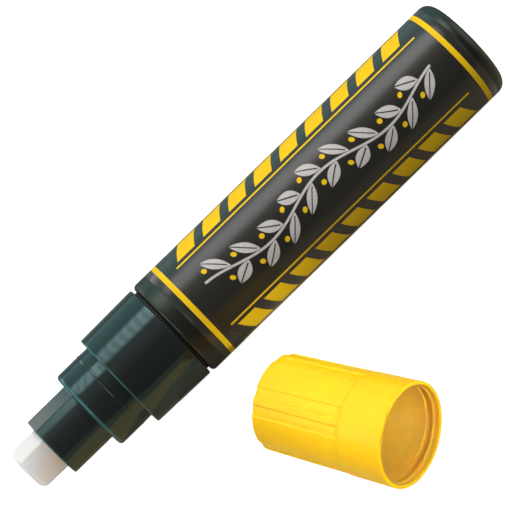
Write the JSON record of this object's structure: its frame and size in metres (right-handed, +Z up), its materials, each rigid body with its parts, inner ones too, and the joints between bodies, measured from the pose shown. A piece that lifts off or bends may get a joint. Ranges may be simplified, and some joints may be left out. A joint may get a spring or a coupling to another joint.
{
  "type": "liquid chalk marker",
  "caption": "Broad liquid chalk marker with a spring valve, a block-shaped fibre nib and a stepped nozzle, lying on its side with its grooved cap taken off beside it.",
  "frame": {"origin": "centre of the barrel's flat base, on the marker's axis", "axes": "+X along the marker's axis out of the base, so the nib points to -X; +Z up from the floor that the marker and its cap lie on; the cap lies on the -Y side"},
  "size_m": [0.1596, 0.0964, 0.03],
  "materials": {
    "barrel_plastic": "dark green-black moulded polypropylene, satin",
    "label_film": "printed film, black and yellow, soft gloss",
    "gasket_rubber": "black rubber",
    "mouthpiece_plastic": "dark teal-green moulded plastic, glossy",
    "nib_fibre": "compressed white fibre",
    "valve_plastic": "natural white plastic",
    "seat_rubber": "grey soft rubber",
    "spring_steel": "drawn stainless wire",
    "ball_steel": "polished stainless ball",
    "cap_plastic": "yellow moulded plastic, satin gloss"
  },
  "bodies": {
    "marker_body": {"barrel": "barrel_plastic", "label_sleeve": "label_film", "barrel_gasket": "gasket_rubber", "mouthpiece": "mouthpiece_plastic", "valve_seat": "seat_rubber", "valve_cage": "valve_plastic", "valve_spring": "spring_steel"},
    "nib_unit": {"nib": "nib_fibre", "valve_plunger": "valve_plastic"},
    "ball_unit": {"mixing_ball": "ball_steel"},
    "cap_unit": {"cap": "cap_plastic"}
  },
  "joints": [
    {"name": "nib_press", "type": "slide", "parent": "marker_body", "child": "nib_unit", "axis": [1, 0, 0], "range_m": [0, 0.0025], "stiffness_N_per_m": 600, "springref_m": -0.002, "deforming": ["valve_spring"]},
    {"name": "ball_roll", "type": "slide", "parent": "marker_body", "child": "ball_unit", "axis": [1, 0, 0], "range_m": [-0.044, 0.04]},
    {"name": "cap_slide", "type": "slide", "parent": "marker_body", "child": "cap_unit", "axis": [0.4147, -0.91, 0], "range_m": [0, 0.06]}
  ]
}
